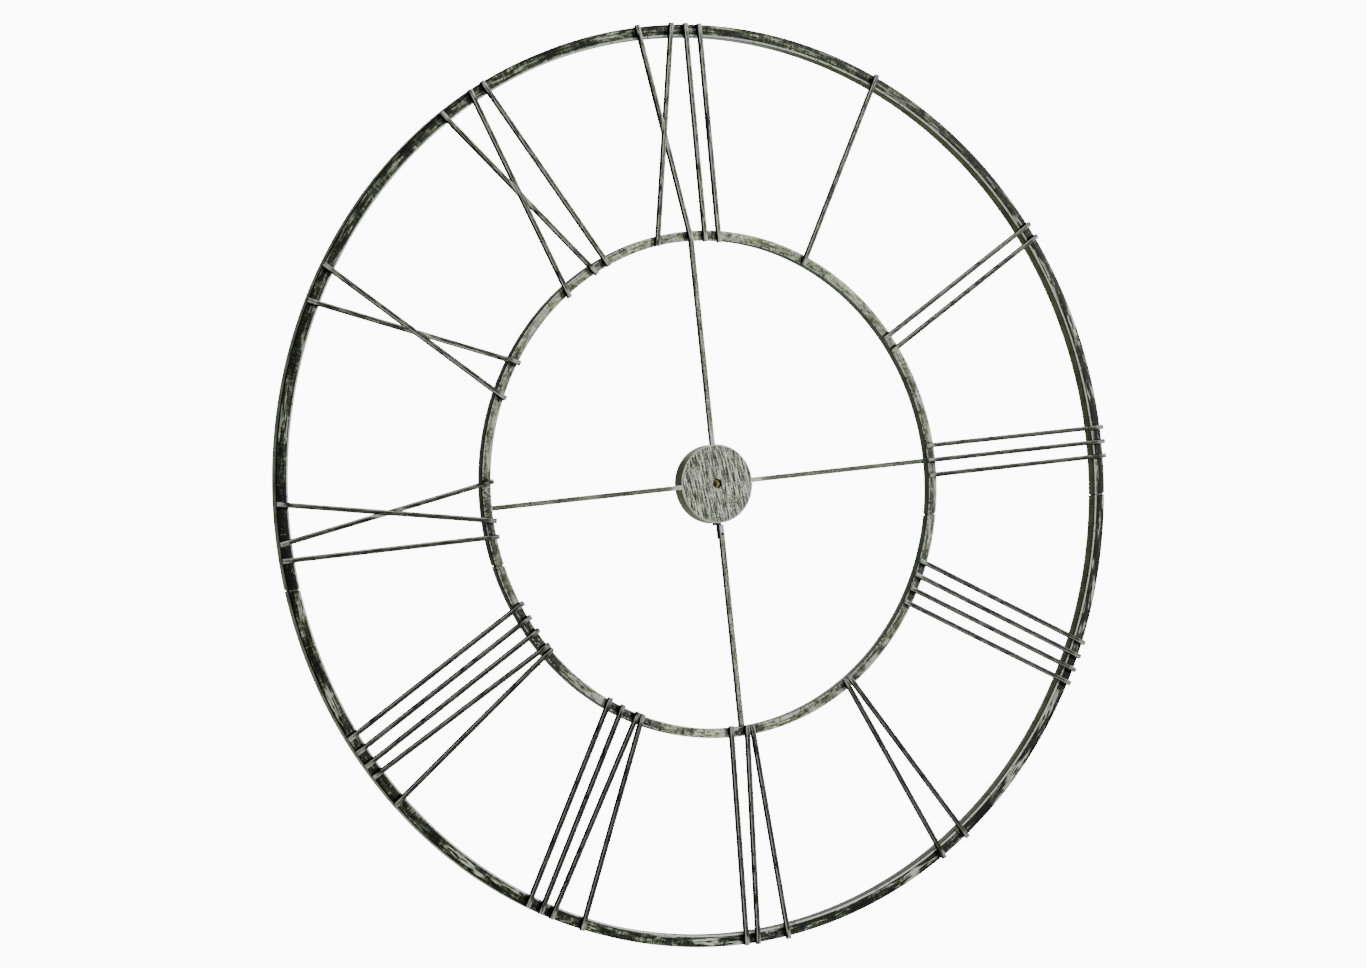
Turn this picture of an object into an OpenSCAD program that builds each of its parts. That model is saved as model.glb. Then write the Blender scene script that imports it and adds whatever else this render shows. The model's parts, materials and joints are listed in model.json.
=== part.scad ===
// Large open-frame metal wall clock: two square-tube rings carry 36 welded rods that
// form the Roman numerals, four spokes carry a shallow hub drum, and a quartz movement
// sits inside the drum. The frame comes apart along one level seam below the hub.
//
// Frame: +Z is up (12 o'clock), +X is 3 o'clock, the clock faces -Y.
// The origin is on the arbor axis, in the plane of the hub's front face.
// Depths are measured from that plane, positive towards the wall.

/* [Rings] */
// Outer radius of the outer ring
outer_r = 571.5; // [500:0.5:700]
// Radial width of the outer ring's tube
outer_tube_w = 15; // [12:0.5:20]
// Depth of the outer ring's tube, front to back
outer_tube_d = 16; // [13:0.5:17]
// Outer radius of the inner ring
inner_r = 315; // [260:1:380]
// Radial width of the inner ring's tube
inner_tube_w = 12; // [11:0.5:16]
// Depth of the inner ring's tube, front to back
inner_tube_d = 13; // [11:0.5:17]
// Wall of both tubes
tube_wall = 1.5; // [1:0.1:2]
// How far the rings' front faces stand proud of the hub face
ring_proud = 1.5; // [0:0.1:4]

/* [Numerals] */
// Width of a numeral rod
rod_w = 6; // [4:0.25:8]
// Depth of a numeral rod
rod_d = 6; // [4:0.25:10]
// How far a rod's ends pass the rings' edges
rod_overhang = 1.5; // [0:0.25:4]
// Clear space between neighbouring strokes of one numeral
stroke_gap = 13; // [9:0.5:16]
// Width of an X over its ends, between rod centres
x_spread = 47.5; // [35:0.5:52]
// Width of a V at its open end, between rod centres
v_spread = 43; // [32:0.5:48]
// Clear space between a V's rods at its closed end
v_nip = 0.6; // [0.3:0.1:3]
// How far a V leans away from the strokes that follow it, in degrees
v_lean = 2.5; // [0:0.25:4]

/* [Knock-down joints] */
// Height of the level seam below the clock's centre
seam_drop = 69; // [60:1:90]
// Gap that shows at each seam
seam_gap = 1.6; // [0.4:0.1:3]
// Length of a tongue inside a ring, half on each side of the seam
tongue_len = 80; // [50:1:120]
// Clearance between a tongue and its tube, each side
tongue_fit = 0.2; // [0.1:0.05:0.5]
// Shank radius of a ring screw
screw_r = 2; // [1.5:0.1:2.5]
// Head radius of a ring screw
screw_head_r = 3.8; // [3.2:0.1:4.5]
// Head height of a ring screw
screw_head_h = 2.4; // [1.5:0.1:3]
// Clearance around a screw shank
screw_fit = 0.1; // [0.05:0.05:0.3]

/* [Spokes] */
// Width of a spoke
spoke_w = 6; // [5:0.25:9]
// Depth of a spoke
spoke_d = 6; // [5:0.25:8]
// Gap between the hub and the lower spoke, which lifts off
spoke_lift_gap = 2.2; // [0.5:0.1:4]
// Thickness of the bracket's leg behind the lower spoke
bracket_leg_d = 4; // [3:0.25:5]
// Thickness of the bracket's foot on the hub wall
bracket_foot_t = 2.5; // [2:0.25:4]
// Distance of the spoke screw below the hub's edge
spoke_screw_drop = 13.5; // [10:0.5:20]
// Length of the bracket's leg past the screw
bracket_tail = 6; // [4:0.5:12]
// Radius of the spoke screw
spoke_screw_r = 1.7; // [1.4:0.1:2]

/* [Hub] */
// Radius of the hub drum
hub_r = 49; // [46:0.5:60]
// Thickness of the hub's front disc
hub_face_t = 1.5; // [1:0.1:2]
// Thickness of the hub's side wall
hub_wall_t = 1.5; // [1:0.1:3]
// Radius of the hole in the hub face
hub_hole_r = 5.4; // [4.4:0.1:7]
// Distance of the movement's back inside the hub's rear rim
rim_clear = 0.4; // [0.2:0.1:5]

/* [Wall hanging] */
// Angle of each keyhole from 12 o'clock, in degrees
keyhole_angle = 12; // [8:0.5:20]
// Radius of a keyhole's round opening
keyhole_r = 4; // [3.5:0.1:4.2]
// Width of a keyhole's slot
keyhole_slot_w = 4; // [3:0.1:4.5]
// Distance from the round opening to the slot's end
keyhole_rise = 4.5; // [4:0.1:5]

/* [Movement] */
// Side of the movement's square case
case_side = 56; // [56:0.5:60]
// Depth of the movement's case
case_d = 14.6; // [14.6:0.1:18]
// Corner radius of the case
case_corner_r = 3; // [1.5:0.5:6]
// Outer radius of the threaded bushing
bushing_r = 3.5; // [3.2:0.1:4]
// Radius of the hour pipe where the hour hand seats
hour_seat_r = 2.55; // [2.4:0.05:2.6]
// Outer radius of the minute arbor
minute_arbor_r = 1.55; // [1.4:0.05:1.7]
// Radius of the seconds arbor
second_arbor_r = 0.5; // [0.4:0.05:0.6]
// Radial running clearance of every arbor and pivot
run_fit = 0.05; // [0.03:0.01:0.08]
// Diameter of the round cell
cell_dia = 14; // [13.5:0.1:14]
// Length of the round cell over its button
cell_len = 50.5; // [49.5:0.1:50.5]

/* [Hidden] */
$fn = 64;
ring_fn = 240;

// Depth planes of the frame
ring_front = -ring_proud;
outer_back = ring_front + outer_tube_d;
inner_back = ring_front + inner_tube_d;
seam_z = -seam_drop;
far = 2 * outer_r;

// Numerals, clockwise from 1 o'clock
SPELLING = ["I", "II", "III", "IIII", "V", "VI", "VII", "VIII", "IX", "X", "XI", "XII"];
// Small set-up errors of the hand-welded numerals: lean in degrees, shift in millimetres
LEAN = [0, 0.5, 0, 0, 0.5, 2, 0.4, 0.7, 0, 0, -1.6, 0.7];
SHIFT = [-1.5, 0, 0, 0, 1, 1, 0, -1.5, -1, -1, 0, -6];
rod_top = outer_r + rod_overhang;
rod_foot = inner_r - inner_tube_w - rod_overhang;
rod_mid = (rod_top + rod_foot) / 2;
v_foot = rod_w + v_nip;
v_half = (v_spread + v_foot) / 4 + rod_w / 2;

// Hub and movement, stacked back from the hub face
nut_clear = 0.3;
nut_t = 2.2;
nut_across_flats = 11;
washer_t = 0.5;
washer_rim = 0.7;
plate_t = 1;
nut_front = hub_face_t + nut_clear;
nut_back = nut_front + nut_t;
case_front_plane = nut_back + washer_t + plate_t;
case_back_plane = case_front_plane + case_d;
hub_d = case_back_plane + rim_clear;
case_wall = 1.2;
half_case = case_side / 2;
inside = half_case - case_wall;
floor_front = case_front_plane + case_wall;
cover_front = case_back_plane - case_wall;
flange_front = floor_front - 0.6;
flange_rim = 1.2;
// Front ends of the bushing and the arbors, and the shoulder behind the hour hand's seat
bushing_end = 0.5;
hour_end = -0.6;
hour_shoulder = 0.4;
minute_end = -1.2;
second_end = -1.8;
hour_body_r = hour_seat_r + 0.25;
// Pivots and their blind holes, with the play left at a shaft's ends
pivot_r = 0.4;
pivot_depth = 0.8;
pivot_short = 0.2;
end_play = 0.3;

// Gear train: tooth counts
CANNON_T = 12;
MINUTE_WHEEL_T = 48;
MINUTE_PINION_T = 16;
HOUR_WHEEL_T = 48;
CENTRE_WHEEL_T = 64;
THIRD_PINION_T = 8;
THIRD_WHEEL_T = 60;
SECOND_PINION_T = 8;
SECOND_WHEEL_T = 30;
FIFTH_PINION_T = 10;
FIFTH_WHEEL_T = 60;
ROTOR_PINION_T = 6;
// Centre distances and directions of the meshes, directions anticlockwise from 3 o'clock
minute_dist = 10.5;
minute_dir = 0;
third_dist = 10.2;
third_dir = 75;
fifth_dist = 8;
fifth_dir = 175;
rotor_dist = 7.7;
rotor_dir = 120;
minute_at = minute_dist * [cos(minute_dir), sin(minute_dir)];
third_at = third_dist * [cos(third_dir), sin(third_dir)];
fifth_at = fifth_dist * [cos(fifth_dir), sin(fifth_dir)];
rotor_at = fifth_at + rotor_dist * [cos(rotor_dir), sin(rotor_dir)];
// Levels of the wheels, each behind the last
wheel_t = 0.8;
gear_gap = 0.4;
hour_level = floor_front + gear_gap;
hour_wheel_t = 1;
minute_level = hour_level + hour_wheel_t + 0.5;
centre_level = minute_level + wheel_t + 0.7;
bridge_level = centre_level + wheel_t + gear_gap;
bridge_t = 0.8;
third_level = bridge_level + bridge_t + gear_gap + 0.1;
second_level = third_level + wheel_t + 0.6;
fifth_level = second_level + wheel_t + 0.6;
stator_level = fifth_level + wheel_t + 0.3;
stator_t = 0.8;
magnet_t = 1.6;
magnet_r = 3.2;
pinion_over = 0.2;
shaft_r = 0.5;
minute_shaft_r = 0.8;
knob_r = 4.2;
knob_t = 2.2;
knob_grips = 18;
knob_grip_r = 0.35;
knob_well_r = 5;
knob_well_d = 2.8;
well_wall = 1;
bay_wall_z = -10.5;
bay_wall_t = 1;
cell_r = cell_dia / 2;
cell_lift = 0.6;
cell_fit = 0.2;
cell_z = -inside + cell_r + cell_lift;
cell_depth = case_back_plane - cell_r;
cell_button_l = 1.5;
cell_button_r = 2.75;
contact_t = 0.4;
contact_w = 8;
contact_h = 9;
contact_tail_w = 3;
contact_slot = [1, 3.4];
board_level = floor_front + 3.2;
board_t = 1;
board_z = [20, 26.4];
board_mid_z = (board_z[0] + board_z[1]) / 2;
chip_x = 12;
chip_r = 2.4;
chip_t = 1;
crystal_x = 17;
crystal_l = 6;
crystal_r = 1;
coil_z = 21.5;
coil_r = 2.8;
coil_x = [-22, -6.6];
coil_rim = 0.4;
core_x = [-25.8, -3.2];
core_t = 1.2;
core_w = 2;
core_mid = stator_level - core_t / 2;
flange_t = 0.8;
stator_leg_w = 2.6;
stator_foot_z = 2.4;
stator_arm_z = 12.2;
stator_gap = 0.4;
bridge_corner = [-23, -9.8];
bridge_size = [46, 28.8];
shaft_hole_fit = 0.3;

// ---- Shared shapes ----

// Extrudes a front-view outline between two depths
module slab(front, back) {
    translate([0, back, 0]) rotate([90, 0, 0]) linear_extrude(back - front) children();
}

// Round bar along the arbor axis, at a place in the front view
module bar(at, front, back, r) {
    translate([at[0], back, at[1]]) rotate([90, 0, 0]) cylinder(h = back - front, r = r);
}

module ring(front, back, r_in, r_out) {
    translate([0, back, 0]) rotate([90, 0, 0]) difference() {
        cylinder(h = back - front, r = r_out, $fn = ring_fn);
        translate([0, 0, -1]) cylinder(h = back - front + 2, r = r_in, $fn = ring_fn);
    }
}

module tube_ring(front, back, r_out, width) {
    difference() {
        ring(front, back, r_out - width, r_out);
        ring(front + tube_wall, back - tube_wall, r_out - width + tube_wall, r_out - tube_wall);
    }
}

// Everything between two heights
module band(low, high) {
    translate([-far, -far, low]) cube([2 * far, 2 * far, high - low]);
}

// ---- Rings ----

// Places children at the middle of the tube, either side, at a height
module at_tube(mid_r, z) {
    x = sqrt(mid_r * mid_r - z * z);
    for (side = [-1, 1]) translate([side * x, 0, z]) children();
}

// Screws sit halfway along the lower half of each tongue
screw_z = seam_z - tongue_len / 4;
outer_mid_r = outer_r - outer_tube_w / 2;
inner_mid_r = inner_r - inner_tube_w / 2;
screw_reach = 9;

module screw_holes(mid_r, front, back) {
    at_tube(mid_r, screw_z) bar([0, 0], front, back, screw_r + screw_fit);
}

module keyhole() {
    hole_at = outer_mid_r - 2;
    back = outer_back;
    for (side = [-1, 1]) rotate([0, side * keyhole_angle, 0]) {
        bar([0, hole_at], back - tube_wall - 0.5, back + 0.5, keyhole_r);
        slab(back - tube_wall - 0.5, back + 0.5) {
            translate([-keyhole_slot_w / 2, hole_at]) square([keyhole_slot_w, keyhole_rise]);
            translate([0, hole_at + keyhole_rise]) circle(r = keyhole_slot_w / 2);
        }
    }
}

module outer_ring_upper() {
    color("dimgray") difference() {
        tube_ring(ring_front, outer_back, outer_r, outer_tube_w);
        band(-far, seam_z + seam_gap / 2);
        keyhole();
    }
}

module outer_ring_lower() {
    color("dimgray") difference() {
        tube_ring(ring_front, outer_back, outer_r, outer_tube_w);
        band(seam_z - seam_gap / 2, far);
        screw_holes(outer_mid_r, outer_back - tube_wall - 0.5, outer_back + 0.5);
    }
}

module inner_ring_upper() {
    color("darkgray") difference() {
        tube_ring(ring_front, inner_back, inner_r, inner_tube_w);
        band(-far, seam_z + seam_gap / 2);
    }
}

module inner_ring_lower() {
    color("darkgray") difference() {
        tube_ring(ring_front, inner_back, inner_r, inner_tube_w);
        band(seam_z - seam_gap / 2, far);
        screw_holes(inner_mid_r, inner_back - tube_wall - 0.5, inner_back + 0.5);
    }
}

// Solid tongues inside a tube ring, across both seams
module tongues(back, r_out, width, mid_r) {
    skin = tube_wall + tongue_fit;
    difference() {
        intersection() {
            ring(ring_front + skin, back - skin, r_out - width + skin, r_out - skin);
            band(seam_z - tongue_len / 2, seam_z + tongue_len / 2);
        }
        screw_holes(mid_r, ring_front, back);
    }
}

module outer_tongues() {
    color("slategray") tongues(outer_back, outer_r, outer_tube_w, outer_mid_r);
}

module inner_tongues() {
    color("slategray") tongues(inner_back, inner_r, inner_tube_w, inner_mid_r);
}

module ring_screws(mid_r, back) {
    at_tube(mid_r, screw_z) {
        bar([0, 0], back - screw_reach, back, screw_r);
        difference() {
            bar([0, 0], back, back + screw_head_h, screw_head_r);
            bar([0, 0], back + screw_head_h / 2, back + screw_head_h + 1, screw_r);
        }
    }
}

module outer_ring_screws() {
    color("silver") ring_screws(outer_mid_r, outer_back);
}

module inner_ring_screws() {
    color("silver") ring_screws(inner_mid_r, inner_back);
}

// ---- Numerals ----

// Half of the room that a stroke takes
function half_stroke(c) = c == "I" ? rod_w / 2 : c == "V" ? v_half : x_spread / 2 + rod_w / 2;
// Distance of stroke i from the numeral's first edge
function stroke_from_edge(s, i) = i == 0 ? half_stroke(s[0])
    : stroke_from_edge(s, i - 1) + half_stroke(s[i - 1]) + stroke_gap + half_stroke(s[i]);
function numeral_w(s) = stroke_from_edge(s, len(s) - 1) + half_stroke(s[len(s) - 1]);
function stroke_at(s, i) = stroke_from_edge(s, i) - numeral_w(s) / 2;
// Point on a circle at a sideways distance from the numeral's axis
function on_circle(r, u) = [u, sqrt(r * r - u * u)];

// Square-ended rod between two sideways distances, at the inner and the outer ring
module rod(foot_u, top_u) {
    foot = on_circle(rod_foot, foot_u);
    top = on_circle(rod_top, top_u);
    run = top - foot;
    translate(foot) rotate(-atan2(run[0], run[1]))
        translate([-rod_w / 2, 0]) square([rod_w, norm(run)]);
}

module x_stroke(u) {
    half = x_spread / 2;
    slab(ring_front - rod_d, ring_front) rod(u - half, u + half);
    slab(ring_front - rod_d, ring_front) difference() {
        rod(u + half, u - half);
        rod(u - half, u + half);
    }
}

// Sideways travel of a leaning stroke between its middle and one end
function lean_run(lean) = tan(lean) * (rod_top - rod_foot) / 2;

module v_stroke(u, lean) {
    run = lean_run(lean);
    slab(ring_front - rod_d, ring_front) {
        rod(u - v_foot / 2 + run, u - v_spread / 2 - run);
        rod(u + v_foot / 2 + run, u + v_spread / 2 - run);
    }
}

module i_stroke(u) {
    slab(ring_front - rod_d, ring_front) rod(u, u);
}

module numeral(hour) {
    s = SPELLING[hour - 1];
    color("gray") rotate([0, 30 * hour, 0]) translate([SHIFT[hour - 1], 0, rod_mid])
        rotate([0, LEAN[hour - 1], 0]) translate([0, 0, -rod_mid])
            for (i = [0:len(s) - 1]) {
                if (s[i] == "X") x_stroke(stroke_at(s, i));
                if (s[i] == "V") v_stroke(stroke_at(s, i), len(s) > 1 ? v_lean : 0);
                if (s[i] == "I") i_stroke(stroke_at(s, i));
            }
}

// ---- Spokes ----

module spoke_bar(hub_end) {
    difference() {
        intersection() {
            translate([-spoke_w / 2, 0, 0]) cube([spoke_w, spoke_d, inner_r]);
            bar([0, 0], -1, spoke_d + 1, inner_r - inner_tube_w, $fn = ring_fn);
        }
        bar([0, 0], -1, spoke_d + 1, hub_end);
    }
}

spoke_screw_at = [0, -hub_r - spoke_screw_drop];
bracket_leg_back = spoke_d + bracket_leg_d;

module spoke_top() {
    color("gray") spoke_bar(hub_r);
}

module spoke_right() {
    color("gray") rotate([0, 90, 0]) spoke_bar(hub_r);
}

module spoke_left() {
    color("gray") rotate([0, -90, 0]) spoke_bar(hub_r);
}

module spoke_bottom() {
    color("gray") difference() {
        rotate([0, 180, 0]) spoke_bar(hub_r + spoke_lift_gap);
        bar(spoke_screw_at, -1, spoke_d + 1, spoke_screw_r + screw_fit);
    }
}

// Angle bracket on the hub wall: the foot runs back along the wall, the leg hangs behind
// the lower spoke
module spoke_bracket() {
    leg_end = hub_r + spoke_screw_drop + bracket_tail;
    foot_inset = 1;
    into_hub = 2;
    color("dimgray") difference() {
        union() {
            translate([-spoke_w / 2, spoke_d, -leg_end])
                cube([spoke_w, bracket_leg_d, leg_end - hub_r + into_hub]);
            translate([-spoke_w / 2, spoke_d, -hub_r - bracket_foot_t])
                cube([spoke_w, hub_d - spoke_d - foot_inset, bracket_foot_t + into_hub]);
        }
        bar([0, 0], -1, hub_d + 1, hub_r);
        bar(spoke_screw_at, -1, hub_d, spoke_screw_r + screw_fit);
    }
}

module spoke_screw() {
    sunk = 0.2;
    end_inset = 0.5;
    socket_r = 0.9;
    socket_d = 1.6;
    color("black") difference() {
        bar(spoke_screw_at, sunk, bracket_leg_back - end_inset, spoke_screw_r);
        bar(spoke_screw_at, -1, sunk + socket_d, socket_r, $fn = 6);
    }
}

// ---- Hub ----

module hub_face() {
    color("darkseagreen") difference() {
        bar([0, 0], 0, hub_face_t, hub_r);
        bar([0, 0], -1, hub_face_t + 1, hub_hole_r);
    }
}

module hub_wall() {
    color("darkolivegreen") ring(hub_face_t, hub_d, hub_r - hub_wall_t, hub_r);
}

// ---- Movement fixings ----

module movement_plate() {
    front = case_front_plane - plate_t;
    color("gray") difference() {
        bar([0, 0], front, case_front_plane, hub_r - hub_wall_t);
        bar([0, 0], front - 1, case_front_plane + 1, bushing_r + screw_fit);
    }
}

module movement_washer() {
    color("goldenrod") difference() {
        bar([0, 0], nut_back, nut_back + washer_t, nut_across_flats / 2 + washer_rim);
        bar([0, 0], nut_back - 1, nut_back + washer_t + 1, bushing_r + screw_fit);
    }
}

module movement_nut() {
    color("goldenrod") difference() {
        bar([0, 0], nut_front, nut_back, nut_across_flats / sqrt(3), $fn = 6);
        bar([0, 0], nut_front - 1, nut_back + 1, bushing_r + run_fit);
    }
}

// ---- Movement case ----

module case_outline(side) {
    reach = side / 2 - case_corner_r;
    square([side, 2 * reach], center = true);
    square([2 * reach, side], center = true);
    for (x = [-reach, reach], y = [-reach, reach]) translate([x, y]) circle(r = case_corner_r);
}

// Blind hole for a pivot, opening into the case
module pivot_hole(at, front, back) {
    bar(at, front, back, pivot_r + run_fit);
}

bridge_posts = [[-21, -7.5], [21, -7.5], [-20, 17], [17, 17]];
bridge_post_r = 1.5;
board_posts = [[-22, 23], [22, 23]];
board_post_r = 1.2;
stator_posts = [[-24.6, 15], [-24.6, 6]];
stator_post_r = 1.1;
bay_top = bay_wall_z - bay_wall_t;

module case_walls_outline() {
    difference() {
        case_outline(case_side);
        square(2 * inside, center = true);
    }
}

// Slots in the bay's wall for the tails of the two contacts
module contact_slots() {
    slot_w = contact_slot[0];
    for (side = [-1, 1]) translate([side * (inside - slot_w / 2) - slot_w / 2,
        board_level - cell_fit, bay_top - 1]) cube([slot_w, contact_slot[1], bay_wall_t + 2]);
}

// Threaded bushing, moulded into the case by its flange
module bushing() {
    color("goldenrod") difference() {
        union() {
            bar([0, 0], bushing_end, floor_front, bushing_r);
            bar([0, 0], flange_front, floor_front, bushing_r + flange_rim);
        }
        bar([0, 0], bushing_end - 1, floor_front + 1, hour_body_r + run_fit);
    }
}

module case_front() {
    color("black") difference() {
        union() {
            slab(case_front_plane, floor_front) case_outline(case_side);
            slab(floor_front, cover_front) case_walls_outline();
            slab(cover_front, case_back_plane) intersection() {
                case_walls_outline();
                translate([-half_case, -half_case]) square([case_side, half_case + bay_top]);
            }
            slab(floor_front, cover_front) translate([-inside, bay_top])
                square([2 * inside, bay_wall_t]);
            for (p = bridge_posts) bar(p, floor_front, bridge_level, bridge_post_r);
            for (p = board_posts) bar(p, floor_front, board_level, board_post_r);
            for (p = stator_posts) bar(p, floor_front, stator_level, stator_post_r);
        }
        bar([0, 0], case_front_plane - 1, floor_front + 1, bushing_r);
        bar([0, 0], flange_front, floor_front + 1, bushing_r + flange_rim);
        pivot_hole(minute_at, floor_front - pivot_depth, floor_front + 1);
        pivot_hole(third_at, floor_front - pivot_depth, floor_front + 1);
        translate([-inside, cell_depth, cell_z]) rotate([0, 90, 0])
            cylinder(h = 2 * inside, r = cell_r + cell_fit);
        contact_slots();
    }
}

well_floor_back = case_back_plane - knob_well_d;
well_floor_front = well_floor_back - well_wall;

module case_back() {
    color("black") difference() {
        union() {
            slab(cover_front, case_back_plane) intersection() {
                case_outline(case_side);
                translate([-half_case, bay_top]) square([case_side, half_case - bay_top]);
            }
            bar(minute_at, well_floor_front, cover_front, knob_well_r + well_wall);
        }
        bar(minute_at, well_floor_back, case_back_plane + 1, knob_well_r);
        bar(minute_at, well_floor_front - 1, case_back_plane, minute_shaft_r + run_fit);
        for (p = [[0, 0], third_at, fifth_at, rotor_at])
            pivot_hole(p, cover_front - 1, cover_front + pivot_depth);
    }
}

module train_bridge() {
    color("ivory") difference() {
        slab(bridge_level, bridge_level + bridge_t) translate(bridge_corner) square(bridge_size);
        pivot_hole(fifth_at, bridge_level - 1, bridge_level + 2);
        pivot_hole(rotor_at, bridge_level - 1, bridge_level + 2);
        bar([0, 0], bridge_level - 1, bridge_level + 2, second_arbor_r + run_fit);
        bar(third_at, bridge_level - 1, bridge_level + 2, shaft_r + shaft_hole_fit);
        bar(minute_at, bridge_level - 1, bridge_level + 2, minute_shaft_r + shaft_hole_fit);
    }
}

// ---- Power and electronics ----

module cell() {
    body_l = cell_len - cell_button_l;
    color("steelblue") translate([-cell_len / 2, cell_depth, cell_z]) rotate([0, 90, 0]) {
        cylinder(h = body_l, r = cell_r);
        cylinder(h = cell_len, r = cell_button_r);
    }
}

// Contact plate on the bay's end wall, with a tail up the side wall to the circuit board
module contact(side, dimple_r) {
    plate_x = inside - contact_t;
    plate_z = cell_z - contact_w / 2;
    mirror([side < 0 ? 1 : 0, 0, 0]) {
        translate([plate_x, board_level, plate_z]) cube([contact_t, contact_h, contact_w]);
        translate([plate_x, board_level, plate_z])
            cube([contact_t, contact_tail_w, board_z[1] - plate_z]);
        translate([cell_len / 2, cell_depth, cell_z]) rotate([0, 90, 0])
            cylinder(h = plate_x - cell_len / 2, r = dimple_r);
    }
}

module contact_positive() {
    color("silver") contact(1, 2);
}

module contact_negative() {
    color("silver") contact(-1, 3);
}

module circuit_board() {
    reach = inside - contact_t;
    color("darkgreen") slab(board_level, board_level + board_t)
        translate([-reach, board_z[0]]) square([2 * reach, board_z[1] - board_z[0]]);
    color("black") bar([chip_x, board_mid_z], board_level + board_t,
        board_level + board_t + chip_t, chip_r);
}

module quartz_crystal() {
    color("silver") translate([crystal_x, board_level + board_t + crystal_r, board_mid_z])
        rotate([0, 90, 0]) cylinder(h = crystal_l, r = crystal_r);
}

// Flat core through the coil, between two sideways places
module core(from_x, to_x) {
    translate([from_x, core_mid - core_t / 2, coil_z - core_w / 2])
        cube([to_x - from_x, core_t, core_w]);
}

module coil_bobbin() {
    color("ivory") {
        for (x = [coil_x[0], coil_x[1] - flange_t]) translate([x, core_mid, coil_z])
            rotate([0, 90, 0]) cylinder(h = flange_t, r = coil_r);
        core(core_x[0], core_x[1]);
    }
}

module coil_winding() {
    color("peru") difference() {
        translate([coil_x[0] + flange_t, core_mid, coil_z]) rotate([0, 90, 0])
            cylinder(h = coil_x[1] - coil_x[0] - 2 * flange_t, r = coil_r - coil_rim);
        core(coil_x[0], coil_x[1]);
    }
}

module stator() {
    leg_l = coil_z + core_t - stator_arm_z;
    color("silver") difference() {
        slab(stator_level, stator_level + stator_t) {
            translate([core_x[0], stator_foot_z])
                square([core_x[1] - core_x[0], stator_arm_z - stator_foot_z]);
            for (x = [core_x[0], core_x[1] - stator_leg_w]) translate([x, stator_arm_z])
                square([stator_leg_w, leg_l]);
        }
        bar(rotor_at, stator_level - 1, stator_level + 2, magnet_r + stator_gap);
    }
}

// ---- Gear train ----

function polar(r, a) = r * [cos(a), sin(a)];

// Outline of a gear with one tooth on its zero direction
module gear_outline(teeth, mod) {
    pitch = 360 / teeth;
    root = mod * (teeth / 2 - 1.1);
    tip = mod * (teeth / 2 + 0.8);
    polygon([for (i = [0:teeth - 1]) for (p = [[root, -0.27], [tip, -0.1], [tip, 0.1], [root, 0.27]])
        polar(p[0], (i + p[1]) * pitch)]);
}

// Gear with a tooth towards its partner
module wheel(at, dir, teeth, mod, front, thick) {
    slab(front, front + thick) translate(at) rotate(dir) gear_outline(teeth, mod);
}

// Gear with a gap towards its partner
module follower(at, dir, teeth, mod, front, thick) {
    wheel(at, dir + 180 + 180 / teeth, teeth, mod, front, thick);
}

cannon_mod = 2 * minute_dist / (CANNON_T + MINUTE_WHEEL_T);
hour_mod = 2 * minute_dist / (MINUTE_PINION_T + HOUR_WHEEL_T);
centre_mod = 2 * third_dist / (CENTRE_WHEEL_T + THIRD_PINION_T);
third_mod = 2 * third_dist / (SECOND_PINION_T + THIRD_WHEEL_T);
second_mod = 2 * fifth_dist / (SECOND_WHEEL_T + FIFTH_PINION_T);
rotor_mod = 2 * rotor_dist / (FIFTH_WHEEL_T + ROTOR_PINION_T);

module pinion(at, dir, teeth, mod, level, thick) {
    wheel(at, dir, teeth, mod, level - pinion_over, thick + 2 * pinion_over);
}

module hour_pipe() {
    color("goldenrod") difference() {
        union() {
            bar([0, 0], hour_end, hour_shoulder, hour_seat_r);
            bar([0, 0], hour_shoulder, hour_level + hour_wheel_t, hour_body_r);
            follower([0, 0], minute_dir + 180, HOUR_WHEEL_T, hour_mod, hour_level, hour_wheel_t);
        }
        bar([0, 0], hour_end - 1, hour_level + hour_wheel_t + 1, minute_arbor_r + run_fit);
    }
}

minute_back = centre_level + wheel_t + 0.2;

module minute_arbor() {
    color("goldenrod") difference() {
        union() {
            bar([0, 0], minute_end, minute_back, minute_arbor_r);
            pinion([0, 0], minute_dir, CANNON_T, cannon_mod, minute_level, wheel_t);
            wheel([0, 0], third_dir, CENTRE_WHEEL_T, centre_mod, centre_level, wheel_t);
        }
        bar([0, 0], minute_end - 1, minute_back + 1, second_arbor_r + run_fit);
    }
}

module second_arbor() {
    color("silver") {
        bar([0, 0], second_end, cover_front - end_play, second_arbor_r);
        bar([0, 0], cover_front - end_play, cover_front + pivot_depth - pivot_short, pivot_r);
        pinion([0, 0], third_dir, SECOND_PINION_T, third_mod, third_level, wheel_t);
        wheel([0, 0], fifth_dir, SECOND_WHEEL_T, second_mod, second_level, wheel_t);
    }
}

// Shaft with a pivot at each end
module pivoted_shaft(at, front, back, r) {
    bar(at, front + end_play, back - end_play, r);
    bar(at, front - pivot_depth + pivot_short, back + pivot_depth - pivot_short, pivot_r);
}

module third_wheel() {
    color("ivory") {
        pivoted_shaft(third_at, floor_front, cover_front, shaft_r);
        follower(third_at, third_dir, THIRD_PINION_T, centre_mod, centre_level - pinion_over,
            wheel_t + 2 * pinion_over);
        follower(third_at, third_dir, THIRD_WHEEL_T, third_mod, third_level, wheel_t);
    }
}

module fifth_wheel() {
    color("ivory") {
        pivoted_shaft(fifth_at, bridge_level + bridge_t, cover_front, shaft_r);
        follower(fifth_at, fifth_dir, FIFTH_PINION_T, second_mod, second_level - pinion_over,
            wheel_t + 2 * pinion_over);
        wheel(fifth_at, rotor_dir, FIFTH_WHEEL_T, rotor_mod, fifth_level, wheel_t);
    }
}

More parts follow.
